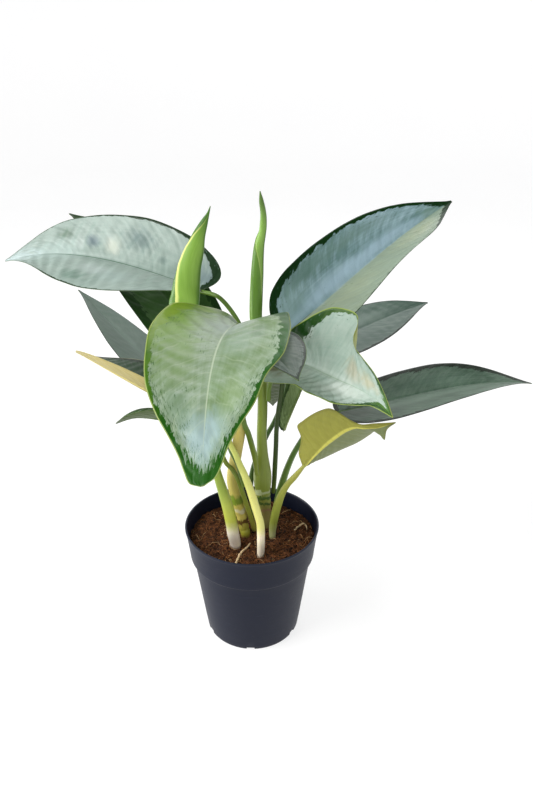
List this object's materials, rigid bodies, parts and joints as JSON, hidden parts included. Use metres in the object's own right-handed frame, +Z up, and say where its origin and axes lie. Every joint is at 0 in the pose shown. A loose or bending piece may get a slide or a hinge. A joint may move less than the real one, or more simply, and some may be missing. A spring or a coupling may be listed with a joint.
{
  "type": "potted chinese evergreen",
  "caption": "Leafy Chinese evergreen houseplant with broad silver-green leaves on pale stalks, growing in a round dark plastic nursery pot.",
  "frame": {"origin": "centre of the pot's flat underside", "axes": "+Z up along the pot's axis; the plant's front, with the large facing leaf, looks towards -Y"},
  "size_m": [0.4668, 0.3811, 0.3909],
  "materials": {
    "pot_plastic": "matte dark blue-grey moulded plastic",
    "potting_mix": "loose brown coir and peat fibres",
    "cane": "smooth green to cream stem skin with ringed nodes",
    "leaf_stalk": "smooth satin green stalk, white at the foot",
    "leaf_blade": "glossy silver-green leaf with a dark green margin",
    "young_leaf": "satin light green rolled leaf",
    "root": "dry pale root"
  },
  "bodies": {
    "root": {"pot": "pot_plastic", "soil": "potting_mix", "cane_main": "cane", "cane_left": "cane", "cane_pale": "cane", "stalk_03": "leaf_stalk", "stalk_04": "leaf_stalk", "stalk_02": "leaf_stalk", "stalk_06": "leaf_stalk", "stalk_09": "leaf_stalk", "stalk_10": "leaf_stalk", "stalk_13": "leaf_stalk", "stalk_14": "leaf_stalk", "stalk_11": "leaf_stalk", "stalk_12": "leaf_stalk", "stalk_01": "leaf_stalk", "stalk_15": "leaf_stalk", "stalk_07": "leaf_stalk", "blade_01": "leaf_blade", "blade_02": "leaf_blade", "blade_03": "leaf_blade", "blade_04": "leaf_blade", "blade_05": "leaf_blade", "blade_06": "leaf_blade", "blade_09": "leaf_blade", "blade_10": "leaf_blade", "blade_12": "leaf_blade", "blade_13": "leaf_blade", "blade_15": "leaf_blade", "blade_16": "leaf_blade", "blade_11": "leaf_blade", "blade_14": "leaf_blade", "rolled_leaf_08": "young_leaf", "rolled_leaf_07": "young_leaf", "root_right": "root", "root_front": "root"}
  },
  "joints": []
}
